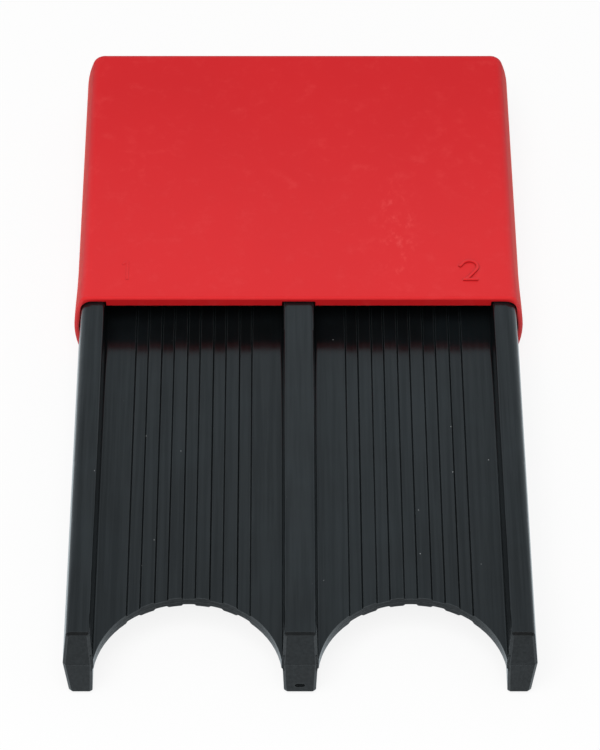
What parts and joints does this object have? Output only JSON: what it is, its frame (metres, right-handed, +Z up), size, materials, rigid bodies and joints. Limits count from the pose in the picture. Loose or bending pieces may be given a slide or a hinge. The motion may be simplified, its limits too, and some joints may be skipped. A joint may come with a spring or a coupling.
{
  "type": "reed guard",
  "caption": "Flat woodwind reed guard: a black ribbed tray with finger notches and a red soft-touch sleeve that slides off its back.",
  "frame": {"origin": "middle of the bounding box seen from above, at the height of the sleeve's flat underside", "axes": "+X to the right when seen from the open end, +Y along the tray from the finger notches to the sleeve's closed end, +Z up"},
  "size_m": [0.047, 0.084, 0.009],
  "materials": {
    "black_abs": "satin moulded ABS",
    "red_soft_touch": "soft-touch matt"
  },
  "bodies": {
    "tray_body": {"reed_tray": "black_abs"},
    "sleeve_body": {"sleeve": "red_soft_touch"}
  },
  "joints": [
    {"name": "sleeve_slide", "type": "slide", "parent": "tray_body", "child": "sleeve_body", "axis": [0, 1, 0], "range_m": [0, 0.04]}
  ]
}
